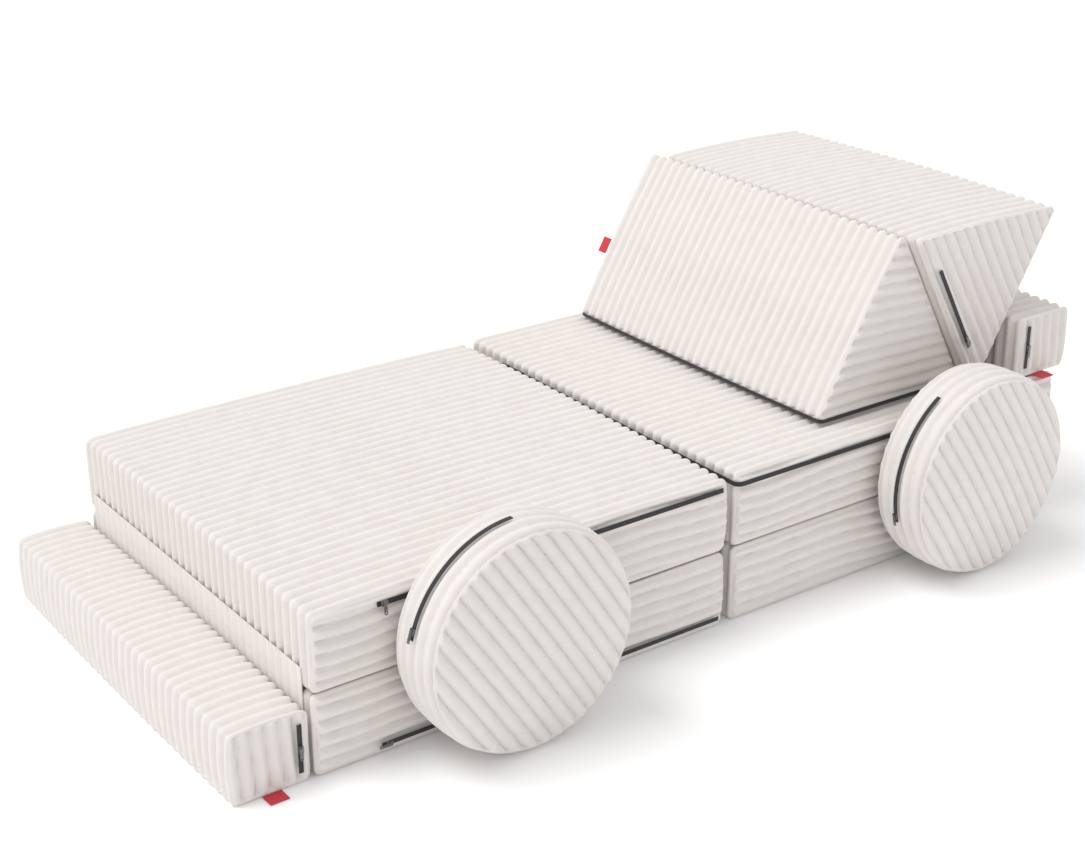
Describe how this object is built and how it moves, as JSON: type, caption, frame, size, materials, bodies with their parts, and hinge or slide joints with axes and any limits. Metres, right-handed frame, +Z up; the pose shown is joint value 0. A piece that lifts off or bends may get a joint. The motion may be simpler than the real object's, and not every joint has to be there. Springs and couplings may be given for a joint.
{
  "type": "modular play sofa",
  "caption": "Loose foam cushions in wide-rib plush covers, two bi-fold mattresses with bars, wedges and discs, set out as a toy car.",
  "frame": {"origin": "centre of the bounding box at floor level", "axes": "+X from the bumper towards the back, +Y from the side with the wheels to the far side, +Z up"},
  "size_m": [1.9112, 1.0049, 0.6427],
  "materials": {
    "plush": "soft wide-rib cord plush",
    "foam": "open-cell foam",
    "zip_tape": "woven nylon",
    "zip_metal": "dark gunmetal",
    "tag_cloth": "woven label, bare"
  },
  "bodies": {
    "front_block": {"front_lower_cover": "plush", "front_lower_core": "foam", "front_lower_zip": "zip_tape", "front_spine_lower": "plush"},
    "front_lower_zip_slider": {"front_lower_slider": "zip_metal", "front_lower_pull": "zip_metal"},
    "front_top_panel": {"front_upper_cover": "plush", "front_upper_core": "foam", "front_upper_zip": "zip_tape", "front_spine_upper": "plush"},
    "front_upper_zip_slider": {"front_upper_slider": "zip_metal", "front_upper_pull": "zip_metal"},
    "rear_block": {"rear_lower_cover": "plush", "rear_lower_core": "foam", "rear_lower_zip": "zip_tape", "rear_spine_lower": "plush"},
    "rear_lower_zip_slider": {"rear_lower_slider": "zip_metal", "rear_lower_pull": "zip_metal"},
    "rear_top_panel": {"rear_upper_cover": "plush", "rear_upper_core": "foam", "rear_upper_zip": "zip_tape", "rear_spine_upper": "plush"},
    "rear_upper_zip_slider": {"rear_upper_slider": "zip_metal", "rear_upper_pull": "zip_metal"},
    "bumper": {"bumper_cover": "plush", "bumper_core": "foam", "bumper_zip": "zip_tape", "bumper_tag": "tag_cloth"},
    "bumper_zip_slider": {"bumper_slider": "zip_metal", "bumper_pull": "zip_metal"},
    "rear_bar": {"rear_bar_cover": "plush", "rear_bar_core": "foam", "rear_bar_zip": "zip_tape", "rear_bar_tag": "tag_cloth"},
    "rear_bar_zip_slider": {"rear_bar_slider": "zip_metal", "rear_bar_pull": "zip_metal"},
    "windscreen": {"windscreen_cover": "plush", "windscreen_core": "foam", "windscreen_zip": "zip_tape", "windscreen_tag": "tag_cloth"},
    "windscreen_zip_slider": {"windscreen_slider": "zip_metal", "windscreen_pull": "zip_metal"},
    "roof": {"roof_cover": "plush", "roof_core": "foam", "roof_zip": "zip_tape"},
    "roof_zip_slider": {"roof_slider": "zip_metal", "roof_pull": "zip_metal"},
    "front_wheel": {"front_wheel_cover": "plush", "front_wheel_core": "foam", "front_wheel_zip": "zip_tape"},
    "front_wheel_zip_slider": {"front_wheel_slider": "zip_metal", "front_wheel_pull": "zip_metal"},
    "rear_wheel": {"rear_wheel_cover": "plush", "rear_wheel_core": "foam", "rear_wheel_zip": "zip_tape"},
    "rear_wheel_zip_slider": {"rear_wheel_slider": "zip_metal", "rear_wheel_pull": "zip_metal"}
  },
  "joints": [
    {"name": "front_panel_fold", "type": "hinge", "parent": "front_block", "child": "front_top_panel", "pos_m": [-0.80327, 0.07315, 0.15015], "axis": [0, -1, 0], "range_deg": [0, 90]},
    {"name": "rear_block_lift_off", "type": "slide", "parent": "front_block", "child": "rear_block", "axis": [1, 0, 0], "range_m": [0, 0.3]},
    {"name": "rear_panel_fold", "type": "hinge", "parent": "rear_block", "child": "rear_top_panel", "pos_m": [0.91673, 0.07315, 0.15015], "axis": [0, 1, 0], "range_deg": [0, 90]},
    {"name": "bumper_lift_off", "type": "slide", "parent": "front_block", "child": "bumper", "axis": [-1, 0, 0], "range_m": [0, 0.3]},
    {"name": "front_wheel_lift_off", "type": "slide", "parent": "front_block", "child": "front_wheel", "axis": [0, -1, 0], "range_m": [0, 0.3]},
    {"name": "rear_wheel_lift_off", "type": "slide", "parent": "rear_block", "child": "rear_wheel", "axis": [0, -1, 0], "range_m": [0, 0.3]},
    {"name": "windscreen_lift_off", "type": "slide", "parent": "rear_top_panel", "child": "windscreen", "axis": [-0.7071, 0, 0.7071], "range_m": [0, 0.3]},
    {"name": "roof_lift_off", "type": "slide", "parent": "rear_top_panel", "child": "roof", "axis": [0, 0, 1], "range_m": [0, 0.35]},
    {"name": "rear_bar_lift_off", "type": "slide", "parent": "rear_top_panel", "child": "rear_bar", "axis": [0.7071, 0, 0.7071], "range_m": [0, 0.18]},
    {"name": "front_lower_zip_run", "type": "slide", "parent": "front_block", "child": "front_lower_zip_slider", "axis": [1, 0, 0], "range_m": [0, 0.688]},
    {"name": "front_upper_zip_run", "type": "slide", "parent": "front_top_panel", "child": "front_upper_zip_slider", "axis": [1, 0, 0], "range_m": [0, 0.07]},
    {"name": "rear_lower_zip_run", "type": "slide", "parent": "rear_block", "child": "rear_lower_zip_slider", "axis": [-1, 0, 0], "range_m": [0, 0.688]},
    {"name": "rear_upper_zip_run", "type": "slide", "parent": "rear_top_panel", "child": "rear_upper_zip_slider", "axis": [-1, 0, 0], "range_m": [0, 0.065]},
    {"name": "bumper_zip_run", "type": "slide", "parent": "bumper", "child": "bumper_zip_slider", "axis": [0, 0, 1], "range_m": [-0.032, 0.032]},
    {"name": "rear_bar_zip_run", "type": "slide", "parent": "rear_bar", "child": "rear_bar_zip_slider", "axis": [0, 0, 1], "range_m": [-0.032, 0.032]},
    {"name": "windscreen_zip_run", "type": "slide", "parent": "windscreen", "child": "windscreen_zip_slider", "axis": [-1, 0, 0], "range_m": [0, 0.2535]},
    {"name": "roof_zip_run", "type": "slide", "parent": "roof", "child": "roof_zip_slider", "axis": [-0.5, 0, 0.866], "range_m": [0, 0.177]},
    {"name": "front_wheel_zip_run", "type": "hinge", "parent": "front_wheel", "child": "front_wheel_zip_slider", "pos_m": [-0.47127, -0.42815, 0.2005], "axis": [0, 1, 0], "range_deg": [0, 67]},
    {"name": "rear_wheel_zip_run", "type": "hinge", "parent": "rear_wheel", "child": "rear_wheel_zip_slider", "pos_m": [0.59073, -0.42815, 0.2005], "axis": [0, 1, 0], "range_deg": [0, 67]}
  ]
}
